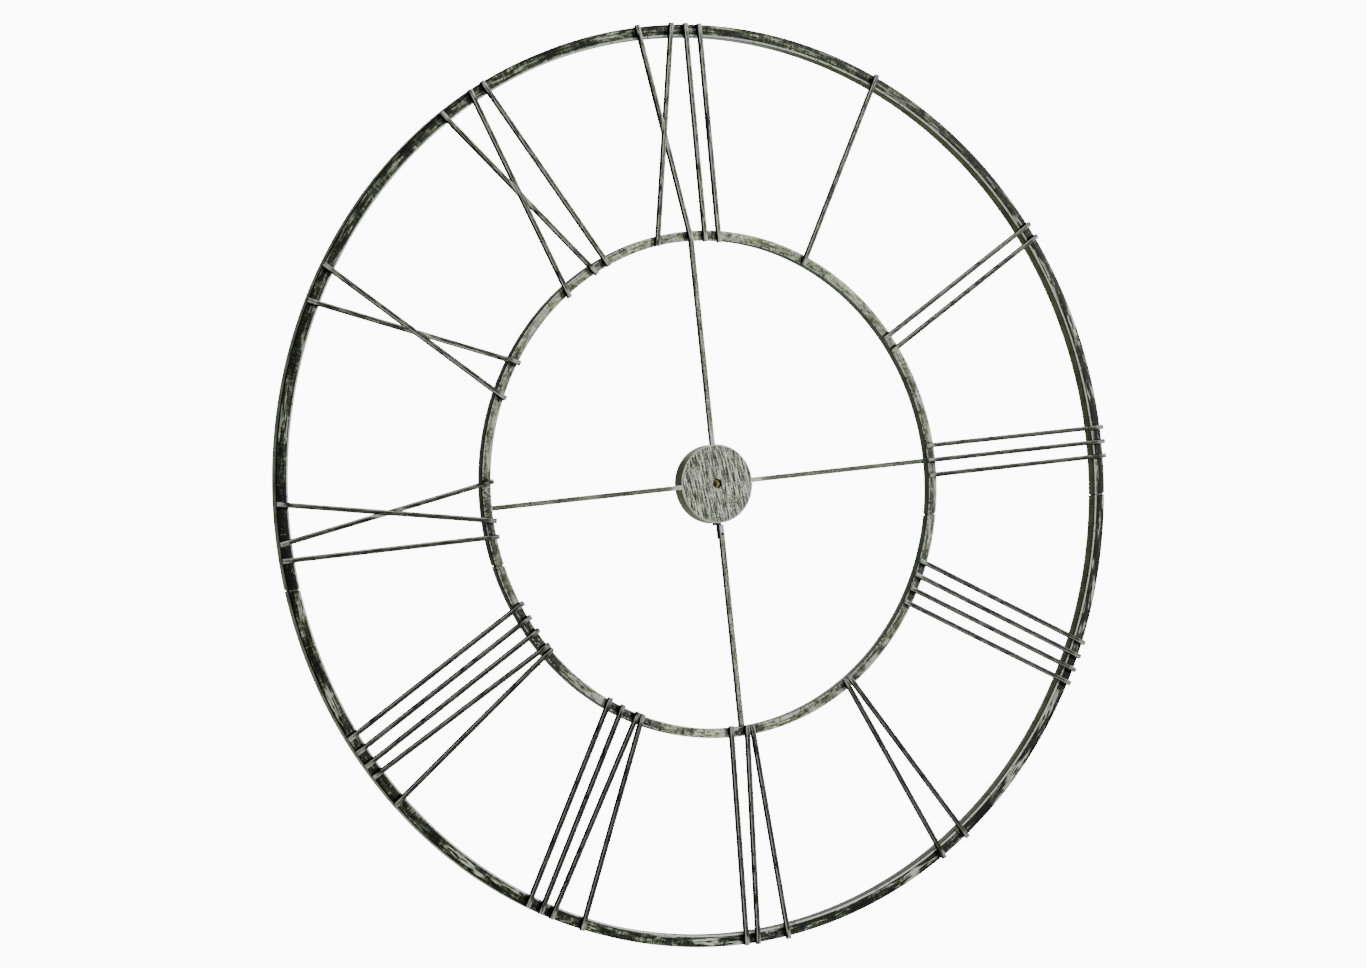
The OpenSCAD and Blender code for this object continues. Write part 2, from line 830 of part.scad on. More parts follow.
module rotor() {
    color("silver") {
        pivoted_shaft(rotor_at, bridge_level + bridge_t, cover_front, shaft_r);
        follower(rotor_at, rotor_dir, ROTOR_PINION_T, rotor_mod, fifth_level - pinion_over,
            wheel_t + pinion_over);
    }
}

module rotor_magnet() {
    color("dimgray") difference() {
        bar(rotor_at, stator_level, stator_level + magnet_t, magnet_r);
        bar(rotor_at, stator_level - 1, stator_level + magnet_t + 1, shaft_r);
    }
}

knob_front = well_floor_back + end_play;

module minute_wheel() {
    color("ivory") {
        bar(minute_at, floor_front - pivot_depth + pivot_short, floor_front + end_play, pivot_r);
        bar(minute_at, floor_front + end_play, knob_front + knob_t, minute_shaft_r);
        follower(minute_at, minute_dir, MINUTE_WHEEL_T, cannon_mod, minute_level, wheel_t);
        wheel(minute_at, minute_dir + 180, MINUTE_PINION_T, hour_mod, hour_level - pinion_over / 2,
            hour_wheel_t + pinion_over);
    }
}

module setting_knob() {
    base_t = 0.5;
    color("white") difference() {
        bar(minute_at, knob_front, knob_front + knob_t, knob_r);
        bar(minute_at, knob_front - 1, knob_front + knob_t + 1, minute_shaft_r);
        for (i = [1:knob_grips]) bar(minute_at + polar(knob_r, i * 360 / knob_grips),
            knob_front + base_t, knob_front + knob_t + 1, knob_grip_r);
    }
}

outer_ring_upper();
outer_ring_lower();
inner_ring_upper();
inner_ring_lower();
numeral(1);  // numeral_01
numeral(2);  // numeral_02
numeral(3);  // numeral_03
numeral(4);  // numeral_04
numeral(5);  // numeral_05
numeral(6);  // numeral_06
numeral(7);  // numeral_07
numeral(8);  // numeral_08
numeral(9);  // numeral_09
numeral(10);  // numeral_10
numeral(11);  // numeral_11
numeral(12);  // numeral_12
spoke_top();
spoke_right();
spoke_bottom();
spoke_left();
spoke_bracket();
spoke_screw();
outer_tongues();
inner_tongues();
outer_ring_screws();
inner_ring_screws();
hub_face();
hub_wall();
movement_plate();
movement_washer();
movement_nut();
bushing();
case_front();
case_back();
train_bridge();
cell();
contact_positive();
contact_negative();
circuit_board();
quartz_crystal();
coil_bobbin();
coil_winding();
stator();
rotor();
rotor_magnet();
fifth_wheel();
second_arbor();
third_wheel();
minute_arbor();
minute_wheel();
setting_knob();
hour_pipe();
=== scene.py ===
import json
import math

import bmesh
import bpy
import numpy as np
from mathutils import Matrix, Vector, noise


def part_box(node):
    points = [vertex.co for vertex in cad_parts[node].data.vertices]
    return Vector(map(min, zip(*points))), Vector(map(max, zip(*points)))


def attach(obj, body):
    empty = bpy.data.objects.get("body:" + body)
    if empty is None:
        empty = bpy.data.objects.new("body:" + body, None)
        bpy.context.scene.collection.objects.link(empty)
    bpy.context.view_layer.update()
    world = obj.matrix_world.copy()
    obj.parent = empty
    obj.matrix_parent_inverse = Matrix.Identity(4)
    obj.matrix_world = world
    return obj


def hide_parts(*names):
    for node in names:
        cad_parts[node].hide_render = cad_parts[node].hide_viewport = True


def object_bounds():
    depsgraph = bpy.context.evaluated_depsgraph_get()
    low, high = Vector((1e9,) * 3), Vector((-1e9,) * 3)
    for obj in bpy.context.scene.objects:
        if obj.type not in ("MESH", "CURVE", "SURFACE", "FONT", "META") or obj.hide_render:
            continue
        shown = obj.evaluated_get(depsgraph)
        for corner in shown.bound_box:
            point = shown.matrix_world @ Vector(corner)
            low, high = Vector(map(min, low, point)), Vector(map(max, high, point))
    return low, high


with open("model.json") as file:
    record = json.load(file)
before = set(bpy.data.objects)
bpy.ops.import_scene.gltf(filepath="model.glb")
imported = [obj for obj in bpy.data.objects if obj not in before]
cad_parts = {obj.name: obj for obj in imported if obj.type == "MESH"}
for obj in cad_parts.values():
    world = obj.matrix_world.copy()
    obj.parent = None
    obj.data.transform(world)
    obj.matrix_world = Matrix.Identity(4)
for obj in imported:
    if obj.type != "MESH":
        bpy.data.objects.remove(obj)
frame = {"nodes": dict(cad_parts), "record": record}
cad_low, cad_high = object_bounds()

# All lengths are in metres, in the CAD frame: +Z up, the clock faces -Y, origin on the arbors
# at the hub face. Angles round the dial are clockwise from 12 o'clock.
MM = 0.001
TUBE_WALL = 1.5 * MM
TUBE_CORNER = 0.9 * MM
TUBE_INNER_CORNER = 0.3 * MM
ROD_WIDTH = 6 * MM
ROD_CORNER = 1.0 * MM
ROD_OVERHANG = 1.5 * MM
HUB_HOLE_R = 5.4 * MM
HUB_WALL = 1.5 * MM
RING_STEPS = 280

nodes = frame["nodes"]
HOURS = range(1, 13)


def srgb(red, green, blue):
    """A display colour, 0 to 255, as the linear colour that a shader takes."""
    def linear(value):
        share = value / 255
        return share / 12.92 if share <= 0.04045 else ((share + 0.055) / 1.055) ** 2.4
    return (linear(red), linear(green), linear(blue), 1.0)


# ---- Sizes read from the frame ----

def radii(node):
    """Smallest and largest distance of a node's surface from the arbor axis."""
    reach = [math.hypot(v.co.x, v.co.z) for v in nodes[node].data.vertices]
    return min(reach), max(reach)


outer_in, outer_out = radii("outer_ring_upper")
inner_in, inner_out = radii("inner_ring_upper")
ring_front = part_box("outer_ring_upper")[0].y
outer_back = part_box("outer_ring_upper")[1].y
inner_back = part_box("inner_ring_upper")[1].y
hub_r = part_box("hub_face")[1].x
hub_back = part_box("hub_wall")[1].y
hub_face_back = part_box("hub_face")[1].y


# ---- Materials ----

class Paint:
    """A procedural material under construction, with short calls that add and link its nodes."""

    def __init__(self, name, **shader):
        self.material = bpy.data.materials.new(name)
        self.material.use_nodes = True
        self.tree = self.material.node_tree
        self.shader = self.tree.nodes["Principled BSDF"]
        for socket, value in shader.items():
            self.set(socket.replace("_", " "), value)

    def add(self, kind, **settings):
        node = self.tree.nodes.new("ShaderNode" + kind)
        for key, value in settings.items():
            setattr(node, key, value)
        return node

    def put(self, socket, value):
        """Links a socket to a socket, or sets it to a number or colour."""
        if isinstance(value, bpy.types.NodeSocket):
            self.tree.links.new(value, socket)
        else:
            socket.default_value = value

    def set(self, socket, value):
        self.put(self.shader.inputs[socket], value)

    def math(self, operation, first, second=0.0):
        node = self.add("Math", operation=operation)
        self.put(node.inputs[0], first)
        self.put(node.inputs[1], second)
        return node.outputs[0]

    def times(self, first, *others):
        for other in others:
            first = self.math("MULTIPLY", first, other)
        return first

    def plus(self, first, *others):
        for other in others:
            first = self.math("ADD", first, other)
        return first

    def weighed(self, *parts):
        """The sum of several values, each given with its weight."""
        return self.plus(*[self.times(value, weight) for value, weight in parts])

    def distance(self, first, second):
        """The length of the vector with these two parts."""
        return self.math("SQRT", self.plus(self.times(first, first), self.times(second, second)))

    def size(self, value):
        return self.math("ABSOLUTE", value)

    def place(self):
        return self.add("TexCoord").outputs["Object"]

    def attribute(self, name, output="Vector"):
        return self.add("Attribute", attribute_name=name).outputs[output]

    def split(self, vector):
        node = self.add("SeparateXYZ")
        self.put(node.inputs[0], vector)
        return node.outputs

    def join(self, x, y, z):
        node = self.add("CombineXYZ")
        for socket, value in zip(node.inputs, (x, y, z)):
            self.put(socket, value)
        return node.outputs[0]

    def noise(self, vector, scale, detail=3.0, roughness=0.55):
        node = self.add("TexNoise")
        self.put(node.inputs["Vector"], vector)
        for socket, value in (("Scale", scale), ("Detail", detail), ("Roughness", roughness)):
            node.inputs[socket].default_value = value
        return node.outputs["Fac"]

    def specks(self, scale, detail=4, roughness=0.7):
        """Noise that is alike in all directions."""
        return self.noise(self.place(), scale, detail, roughness)

    def bands(self, scale, distortion):
        node = self.add("TexWave", wave_type="BANDS", bands_direction="X")
        self.put(node.inputs["Vector"], self.place())
        node.inputs["Scale"].default_value = scale
        node.inputs["Distortion"].default_value = distortion
        return node.outputs["Fac"]

    def span(self, value, low, high):
        """0 where value is at low or under, 1 at high or over, smooth between. Low may be above high."""
        node = self.add("MapRange", interpolation_type="SMOOTHSTEP")
        self.put(node.inputs["Value"], value)
        node.inputs["From Min"].default_value = low
        node.inputs["From Max"].default_value = high
        return node.outputs["Result"]

    def ramp(self, value, stops, interpolation="LINEAR"):
        node = self.add("ValToRGB")
        self.put(node.inputs[0], value)
        node.color_ramp.interpolation = interpolation
        elements = node.color_ramp.elements
        while len(elements) < len(stops):
            elements.new(0.5)
        for element, (position, colour) in zip(elements, stops):
            element.position = position
            element.color = colour
        return node.outputs["Color"]

    def shades(self, value, *stops):
        """Colours along a value. Each stop is its position, and its red, green and blue from 0 to 255."""
        return self.ramp(value, [(position, srgb(*colour)) for position, *colour in stops])

    def mix(self, share, first, second, mode="MIX"):
        node = self.add("Mix", data_type="RGBA", blend_type=mode)
        self.put(node.inputs["Factor"], share)
        self.put(node.inputs[6], first)
        self.put(node.inputs[7], second)
        return node.outputs[2]

    def finish(self, colour, grain, swing, smoothest, relief=0.0, raised=None):
        """Sets the colour, a roughness that follows the grain, and the relief of the grain or of raised."""
        self.set("Base Color", colour)
        self.set("Roughness", self.plus(self.times(grain, swing), smoothest))
        if relief:
            node = self.add("Bump")
            node.inputs["Strength"].default_value = 1.0
            node.inputs["Distance"].default_value = relief
            self.put(node.inputs["Height"], raised or grain)
            self.set("Normal", node.outputs[0])
        return self.material

    def polar(self):
        """Distance from the arbor axis, depth, share of a turn clockwise from 6 o'clock, and x and z."""
        x, y, z = self.split(self.place())
        turn = self.plus(self.times(self.math("ARCTAN2", x, z), 0.5 / math.pi), 0.5)
        return self.distance(x, z), y, turn, x, z

    def round_streaks(self, around, across, detail=3.0):
        """Streaks that run round the dial, with no seam, because the pattern's place lies on a circle."""
        radius, y, _, x, z = self.polar()
        to_circle = self.math("DIVIDE", around, radius)
        place = self.join(self.times(x, to_circle), self.times(z, to_circle),
                          self.times(self.plus(radius, y), across))
        return self.noise(place, 1.0, detail)

    def round_tone(self, turn, tones, stepped=False):
        """A grey that changes round the dial, smoothly or in a step for each hour, from its 12 tones."""
        order = [tones[hour % 12] for hour in range(5, 18)]
        lead = 0.5 if stepped else 0.0
        stops = [(max(0.0, (i - lead) / 12), (tone, tone, tone, 1.0)) for i, tone in enumerate(order)]
        return self.ramp(turn, stops, "CONSTANT" if stepped else "LINEAR")

    def between_rods(self, radius, turn, ring_radius, tones):
        """1 on a ring between the rods of a numeral, where the ring is made darker, times a tone for its
        hour.
        """
        share = self.math("FRACT", self.plus(self.times(turn, 12), 6.5))
        off_middle = self.times(self.size(self.math("SUBTRACT", share, 0.5)), radius, 2 * math.pi / 12)
        reaches = [numeral_reach(hour, ring_radius) / WIDEST_NUMERAL for hour in HOURS]
        reach = self.times(self.round_tone(turn, reaches, stepped=True), WIDEST_NUMERAL)
        near = self.math("SUBTRACT", reach, off_middle)
        return self.times(self.span(near, 0.0, 1 * MM), self.round_tone(turn, tones, stepped=True))


def numeral_reach(hour, ring_radius):
    """Distance from a numeral's middle line to its furthest rod edge, where it crosses a ring."""
    angle = math.radians(hour * 30)
    reach = 0.0
    for vertex in nodes[f"numeral_{hour:02d}"].data.vertices:
        across = vertex.co.x * math.cos(angle) - vertex.co.z * math.sin(angle)
        outward = vertex.co.x * math.sin(angle) + vertex.co.z * math.cos(angle)
        if abs(outward - ring_radius) < NEAR_RING:
            reach = max(reach, abs(across))
    return reach


# A rod's ends lie this near to the middle of the ring that they are welded to
NEAR_RING = 25 * MM
# No numeral reaches further from its middle line
WIDEST_NUMERAL = 60 * MM

# Tones for 1 to 12 o'clock: brightness, partly the finish's own tone and partly painted light and shade, then
# strength of bare metal, of dark stains, of the darkening between the rods, and of the bright line along a
# rod, which is wear and painted highlight
OUTER_TONES_AND_SHADING = (0.55, 0.38, 0.1, 0.22, 0.12, 0.6, 0.65, 0.7, 0.9, 0.45, 0.95, 1.4)
INNER_TONES_AND_SHADING = (1.2, 0.95, 0.62, 0.62, 0.36, 1.5, 0.75, 0.55, 0.78, 0.95, 1.3, 1.4)
ROD_TONES_AND_SHADING = (0.42, 0.32, 0.2, 0.2, 0.13, 0.2, 0.12, 0.16, 0.2, 0.4, 0.45, 0.75)
OUTER_BARE = (0.4, 0.9, 0.9, 1.0, 0.8, 1.0, 1.0, 0.9, 0.7, 0.3, 0.35, 0.7)
INNER_BARE = (0.2, 0.55, 0.6, 0.85, 0.55, 0.9, 0.75, 0.6, 0.65, 0.4, 0.4, 0.5)
INNER_DARK = (0.3, 0.5, 0.5, 0.8, 0.8, 0.9, 0.7, 0.8, 0.4, 0.4, 0.4, 0.9)
OUTER_GAPS = (0.0, 0.5, 0.6, 0.6, 0.9, 0.9, 0.8, 0.8, 0.9, 0.5, 0.5, 0.4)
INNER_GAPS = (0.0, 0.3, 0.5, 0.7, 0.9, 0.95, 0.95, 0.9, 0.8, 0.4, 0.3, 0.3)
ROD_HIGHLIGHT_LINES = (0.7, 0.6, 0.3, 0.35, 0.2, 0.6, 0.3, 0.4, 0.6, 0.6, 0.7, 0.9)

# The outer ring's black stretch beside IX: where it fades in along x, and at its low and high ends in z
NINE_X = (-0.4, -0.5)
NINE_LOW = (-0.075, -0.068)
NINE_HIGH = (0.062, 0.05)
# Heights between which the inside of the outer ring turns pale, under XII: a painted reflection of the pale
# floor
FLOOR_REFLECTION_Z = (0.525, 0.56)
# The chips in the hub's face: their middle in x and z, and the distances between which they fade out
CHIPS_AT = (29 * MM, -29 * MM)
CHIPS_FADE = (10 * MM, 7 * MM)
# How far the pale patches reach along the spokes from the hub, from nothing to full
SPOKE_PATCH = (15 * MM, 11 * MM)

WHITE = (1.0, 1.0, 1.0, 1.0)


def outer_frame():
    """Dark lacquered tube: fine brushing on the face, a bright inner front edge of worn metal and painted
    highlight, painted dark reflections along the outer front edge and behind the front, olive sides.
    """
    paint = Paint("outer_frame", Metallic=0.12, Specular_IOR_Level=0.22)
    radius, y, turn, x, z = paint.polar()
    fine = paint.round_streaks(30, 420)
    broad = paint.round_streaks(11, 130, 5)
    specks = paint.specks(330, 4, 0.75)
    grain = paint.weighed((fine, 0.42), (specks, 0.3), (paint.round_streaks(230, 70), 0.28))
    face = paint.shades(grain, (0.42, 6, 8, 5), (0.49, 56, 63, 42), (0.55, 116, 126, 94),
                        (0.61, 232, 236, 208))
    # Brightness by hour: partly the finish's own tone, partly painted light and shade
    face = paint.mix(1.0, face, paint.round_tone(turn, OUTER_TONES_AND_SHADING), "MULTIPLY")
    bare = paint.times(paint.span(broad, 0.52, 0.6), paint.span(fine, 0.42, 0.56),
                       paint.round_tone(turn, OUTER_BARE))
    face = paint.mix(bare, face, srgb(232, 238, 216))
    face = paint.mix(paint.times(paint.span(broad, 0.47, 0.38), 0.9), face, srgb(6, 7, 5))
    black = paint.times(paint.span(x, *NINE_X), paint.span(z, *NINE_HIGH), paint.span(z, *NINE_LOW),
                        paint.span(specks, 0.66, 0.56))
    face = paint.mix(black, face, srgb(8, 9, 7))
    gaps = paint.between_rods(radius, turn, (outer_in + outer_out) / 2, OUTER_GAPS)
    face = paint.mix(paint.times(gaps, paint.span(specks, 0.62, 0.5)), face, srgb(24, 26, 19))
    # A bright line along the inner front edge: worn metal and a painted highlight on the rounded edge
    inner_edge_wear_and_highlight = paint.times(paint.span(radius, outer_in + 2.8 * MM, outer_in + 1.8 * MM),
                             paint.span(specks, 0.34, 0.46))
    face = paint.mix(inner_edge_wear_and_highlight, face, srgb(244, 247, 234))
    # A near-black line along the outer front edge: a painted dark reflection on the rounded edge
    face = paint.mix(paint.span(radius, outer_out - 1.5 * MM, outer_out - 0.7 * MM), face, srgb(10, 11, 8))

    rust = paint.specks(60, 5, 0.6)
    side = paint.shades(rust, (0.35, 84, 92, 50), (0.6, 124, 132, 84))
    # Pale inside under XII: a painted reflection of the pale floor
    pale = paint.times(paint.span(z, *FLOOR_REFLECTION_Z),
                       paint.span(radius, outer_in + 3 * MM, outer_in + 1 * MM))
    side = paint.mix(pale, side, srgb(232, 238, 242))
    side = paint.mix(paint.span(radius, outer_out - 4 * MM, outer_out - 2 * MM), side,
                     paint.shades(rust, (0.35, 140, 148, 104), (0.6, 208, 214, 172)))
    # Near-black where the sides meet the front: a painted dark reflection on the rounded edge
    painted_dark_reflection = paint.span(y, ring_front + 3.2 * MM, ring_front + 2.0 * MM)
    side = paint.mix(painted_dark_reflection, side, srgb(10, 11, 8))
    back = paint.shades(grain, (0.42, 24, 27, 19), (0.52, 70, 76, 56), (0.6, 150, 156, 134))
    side = paint.mix(paint.span(y, outer_back - 0.9 * MM, outer_back - 0.5 * MM), side, back)
    past_face = paint.span(y, ring_front + 0.5 * MM, ring_front + 0.9 * MM)
    return paint.finish(paint.mix(past_face, face, side), grain, 0.25, 0.34, 0.12 * MM)


def inner_frame():
    """Lighter grey-green tube, worn bare in patches and pale along its edges from wear and a painted
    highlight, with painted dark reflections at the outer front edge and behind the front.
    """
    paint = Paint("inner_frame", Metallic=0.15, Specular_IOR_Level=0.3)
    radius, y, turn, _, _ = paint.polar()
    specks = paint.specks(350)
    worn = paint.specks(34, 5, 0.6)
    grain = paint.weighed((paint.round_streaks(20, 450), 0.5), (specks, 0.5))
    face = paint.shades(grain, (0.4, 48, 55, 36), (0.5, 138, 148, 112), (0.61, 240, 245, 220))
    # Brightness by hour: partly the finish's own tone, partly painted light and shade
    face = paint.mix(1.0, face, paint.round_tone(turn, INNER_TONES_AND_SHADING), "MULTIPLY")
    bare = paint.times(paint.span(paint.round_streaks(9, 150, 4), 0.51, 0.58),
                       paint.round_tone(turn, INNER_BARE))
    face = paint.mix(bare, face, srgb(240, 245, 228))
    dark = paint.times(paint.span(worn, 0.5, 0.4), paint.round_tone(turn, INNER_DARK))
    face = paint.mix(dark, face, srgb(20, 23, 15))
    gaps = paint.between_rods(radius, turn, (inner_in + inner_out) / 2, INNER_GAPS)
    face = paint.mix(paint.times(gaps, paint.span(specks, 0.62, 0.5)), face, srgb(34, 37, 27))
    # Bright lines along both front edges: worn metal and a painted highlight on the rounded edges
    rims_wear_and_highlight = paint.math("MAXIMUM", paint.span(radius, inner_in + 2.0 * MM, inner_in + 1.0 * MM),
                      paint.span(radius, inner_out - 2.6 * MM, inner_out - 1.6 * MM))
    face = paint.mix(paint.times(rims_wear_and_highlight, paint.span(specks, 0.42, 0.56)), face, srgb(236, 240, 222))
    # A near-black line along the outer front edge: a painted dark reflection on the rounded edge
    face = paint.mix(paint.span(radius, inner_out - 1.1 * MM, inner_out - 0.5 * MM), face, srgb(16, 18, 12))

    side = paint.shades(worn, (0.35, 84, 90, 62), (0.6, 120, 128, 98))
    # Near-black where the sides meet the front: a painted dark reflection on the rounded edge
    side = paint.mix(paint.span(y, ring_front + 2.4 * MM, ring_front + 1.4 * MM), side, srgb(12, 13, 9))
    back = paint.shades(grain, (0.4, 40, 45, 32), (0.52, 96, 103, 80), (0.62, 180, 186, 162))
    side = paint.mix(paint.span(y, inner_back - 0.9 * MM, inner_back - 0.5 * MM), side, back)
    past_face = paint.span(y, ring_front + 0.5 * MM, ring_front + 1.0 * MM)
    return paint.finish(paint.mix(past_face, face, side), grain, 0.25, 0.32, 0.1 * MM)


def numeral_rods():
    """Brushed rods: lengthwise streaks on the front, a bright line at one edge that is wear and a painted
    highlight, near-black edges and sides that are painted shade, and bare ends."""
    paint = Paint("numeral_rods", Metallic=0.15, Specular_IOR_Level=0.25)
    along, across, depth = paint.split(paint.attribute("run"))
    seed = paint.attribute("rod", "Fac")
    turn = paint.polar()[2]
    streaks = paint.noise(paint.join(paint.times(along, 60), paint.times(across, 480),
                                     paint.plus(paint.times(depth, 480), seed)), 1.0, 4, 0.65)
    patches = paint.noise(paint.join(paint.times(along, 70), paint.times(across, 300), seed), 1.0, 4, 0.6)
    specks = paint.specks(380)
    grain = paint.weighed((streaks, 0.7), (specks, 0.3))
    face = paint.shades(grain, (0.4, 27, 30, 21), (0.5, 112, 120, 95), (0.6, 236, 240, 220))
    face = paint.mix(paint.times(paint.span(patches, 0.48, 0.36), 0.8), face, srgb(30, 34, 22))
    # Brightness by hour: partly the finish's own tone, partly painted light and shade
    face = paint.mix(1.0, face, paint.round_tone(turn, ROD_TONES_AND_SHADING), "MULTIPLY")
    off_middle = paint.size(paint.math("SUBTRACT", across, ROD_WIDTH / 2))
    # A bright line near the left or upper edge: wear and a painted highlight
    line = paint.times(paint.span(off_middle, 1.1 * MM, 1.5 * MM), paint.span(patches, 0.36, 0.5),
                       paint.span(across, ROD_WIDTH, 1 * MM), paint.round_tone(turn, ROD_HIGHLIGHT_LINES))
    face = paint.mix(line, face, srgb(240, 245, 226))
    # A near-black strip along both edges of the front: painted shade on the rounded edges
    face = paint.mix(paint.span(off_middle, 2.4 * MM, 2.6 * MM), face, srgb(8, 9, 6))

    # The near-black sides are painted shade
    side = paint.shades(specks, (0.35, 4, 5, 3), (0.65, 20, 22, 16))
    back = paint.shades(grain, (0.42, 22, 25, 18), (0.52, 66, 71, 55), (0.62, 160, 165, 148))
    side = paint.mix(paint.span(depth, ROD_WIDTH - 0.8 * MM, ROD_WIDTH - 0.5 * MM), side, back)
    colour = paint.mix(paint.span(depth, 0.7 * MM, 1.1 * MM), face, side)
    worn = paint.times(paint.attribute("worn", "Fac"), paint.span(patches, 0.3, 0.62))
    return paint.finish(paint.mix(worn, colour, srgb(214, 217, 202)), grain, 0.25, 0.3, 0.1 * MM)


def spoke_rods():
    """Spokes: as the rods, a little lighter, with bare worn patches near the hub."""
    paint = Paint("spoke_rods", Metallic=0.15, Specular_IOR_Level=0.25)
    radius, y, turn, x, z = paint.polar()
    off_middle = paint.math("MINIMUM", paint.size(x), paint.size(z))
    streaks = paint.noise(paint.join(paint.times(radius, 50), turn, paint.times(off_middle, 480)),
                          1.0, 4, 0.65)
    specks = paint.specks(350)
    grain = paint.weighed((streaks, 0.5), (specks, 0.5))
    face = paint.shades(grain, (0.41, 50, 54, 40), (0.5, 146, 155, 126), (0.6, 240, 243, 226))
    level = paint.math("GREATER_THAN", paint.size(x), paint.size(z))
    face = paint.mix(paint.times(level, 0.5), face, srgb(64, 69, 52))
    near_hub = paint.span(radius, hub_r + SPOKE_PATCH[0], hub_r + SPOKE_PATCH[1])
    patch = paint.times(near_hub, paint.span(paint.specks(260, 3, 0.55), 0.3, 0.45))
    face = paint.mix(patch, face, paint.shades(grain, (0.38, 178, 182, 168), (0.55, 250, 252, 244)))
    # The near-black sides are painted shade, as on the rods
    side = paint.shades(specks, (0.35, 5, 6, 4), (0.65, 26, 29, 18))
    colour = paint.mix(paint.span(y, 0.7 * MM, 1.1 * MM), face, side)
    return paint.finish(colour, grain, 0.25, 0.32, 0.1 * MM)


def hub_front():
    """The hub's disc: mottled grey-green with streaks up and down, a pale rim of worn metal and painted
    highlight, and a few dark chips.
    """
    paint = Paint("hub_front", Metallic=0.15, Specular_IOR_Level=0.3)
    radius, _, _, x, z = paint.polar()
    leant = paint.plus(x, paint.times(z, 0.12))
    upright = paint.noise(paint.join(paint.times(leant, 430), 0.0, paint.times(z, 48)), 1.0, 3, 0.6)
    mottle = paint.specks(120, 6, 0.7)
    specks = paint.specks(420, 4, 0.75)
    grain = paint.weighed((upright, 0.52), (mottle, 0.12), (specks, 0.36))
    face = paint.shades(grain, (0.43, 30, 34, 22), (0.5, 142, 151, 124), (0.555, 255, 255, 246))
    off_chips = paint.distance(paint.math("SUBTRACT", x, CHIPS_AT[0]), paint.math("SUBTRACT", z, CHIPS_AT[1]))
    chip = paint.times(paint.span(off_chips, *CHIPS_FADE), paint.span(paint.specks(330, 3, 0.6), 0.56, 0.6))
    face = paint.mix(chip, face, srgb(12, 14, 9))
    # A pale rim: worn metal and a painted highlight on the rounded edge
    rim = paint.times(paint.span(radius, hub_r - 2.4 * MM, hub_r - 1.2 * MM), paint.span(mottle, 0.35, 0.5))
    face = paint.mix(rim, face, paint.shades(specks, (0.35, 190, 194, 180), (0.6, 252, 254, 246)))
    hole = paint.span(radius, HUB_HOLE_R + 0.9 * MM, HUB_HOLE_R + 0.4 * MM)
    return paint.finish(paint.mix(hole, face, srgb(18, 18, 15)), grain, 0.3, 0.32, 0.12 * MM)


def speckled(name, dark, light, scale=500, metallic=0.0, rough=0.45, depth=0.04, **shader):
    """A finish of two close colours in fine specks, with a matching roughness and relief in mm."""
    paint = Paint(name, Metallic=metallic, **shader)
    grain = paint.weighed((paint.specks(scale, 4, 0.65), 0.6), (paint.specks(scale / 12, 3, 0.6), 0.4))
    return paint.finish(paint.shades(grain, (0.36, *dark), (0.64, *light)), grain, 0.3, rough - 0.15,
                        depth * MM)


def turned(name, dark, light, rough):
    """Metal with fine turning marks round the arbor axis."""
    paint = Paint(name, Metallic=1.0)
    marks = paint.round_streaks(8, 5000)
    grain = paint.weighed((marks, 0.6), (paint.specks(300, 4, 0.55), 0.4))
    return paint.finish(paint.shades(grain, (0.36, *dark), (0.64, *light)), grain, 0.3, rough - 0.15,
                        0.02 * MM, marks)


def cell_wrap():
    """Printed film: dark blue-green with a copper band at the positive end, and bare metal caps."""
    paint = Paint("cell_wrap", Coat_Weight=0.6, Coat_Roughness=0.15)
    low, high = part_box("cell")
    x = paint.split(paint.place())[0]
    film = paint.shades(paint.specks(160, 3, 0.55), (0.3, 18, 60, 74), (0.7, 28, 84, 98))
    film = paint.mix(paint.span(x, high.x - 14.2 * MM, high.x - 14 * MM), film, srgb(176, 116, 66))
    caps = paint.math("MAXIMUM", paint.span(x, high.x - 2 * MM, high.x - 1.9 * MM),
                      paint.span(x, low.x + 0.6 * MM, low.x + 0.5 * MM))
    paint.set("Metallic", caps)
    return paint.finish(paint.mix(caps, film, srgb(190, 190, 186)), paint.specks(900, 3, 0.55), 0.2, 0.2)


def circuit():
    """Green solder mask over copper tracks, and the black blob over the chip."""
    paint = Paint("circuit", Coat_Weight=0.4)
    tracks = paint.bands(160, 3)
    mask = paint.mix(paint.span(tracks, 0.62, 0.7), srgb(12, 74, 40), srgb(32, 112, 62))
    board_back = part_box("circuit_board")[1].y
    blob = paint.span(paint.split(paint.place())[1], board_back - 0.9 * MM, board_back - 0.8 * MM)
    return paint.finish(paint.mix(blob, mask, srgb(12, 12, 12)), tracks, 0.2, 0.25, 0.03 * MM)


def winding():
    """Many turns of fine enamelled wire."""
    paint = Paint("winding", Metallic=0.7, Coat_Weight=0.5)
    wire = paint.bands(2200, 0.6)
    colour = paint.shades(wire, (0.2, 92, 40, 16), (0.8, 206, 116, 62))
    return paint.finish(colour, wire, 0.15, 0.25, 0.06 * MM)


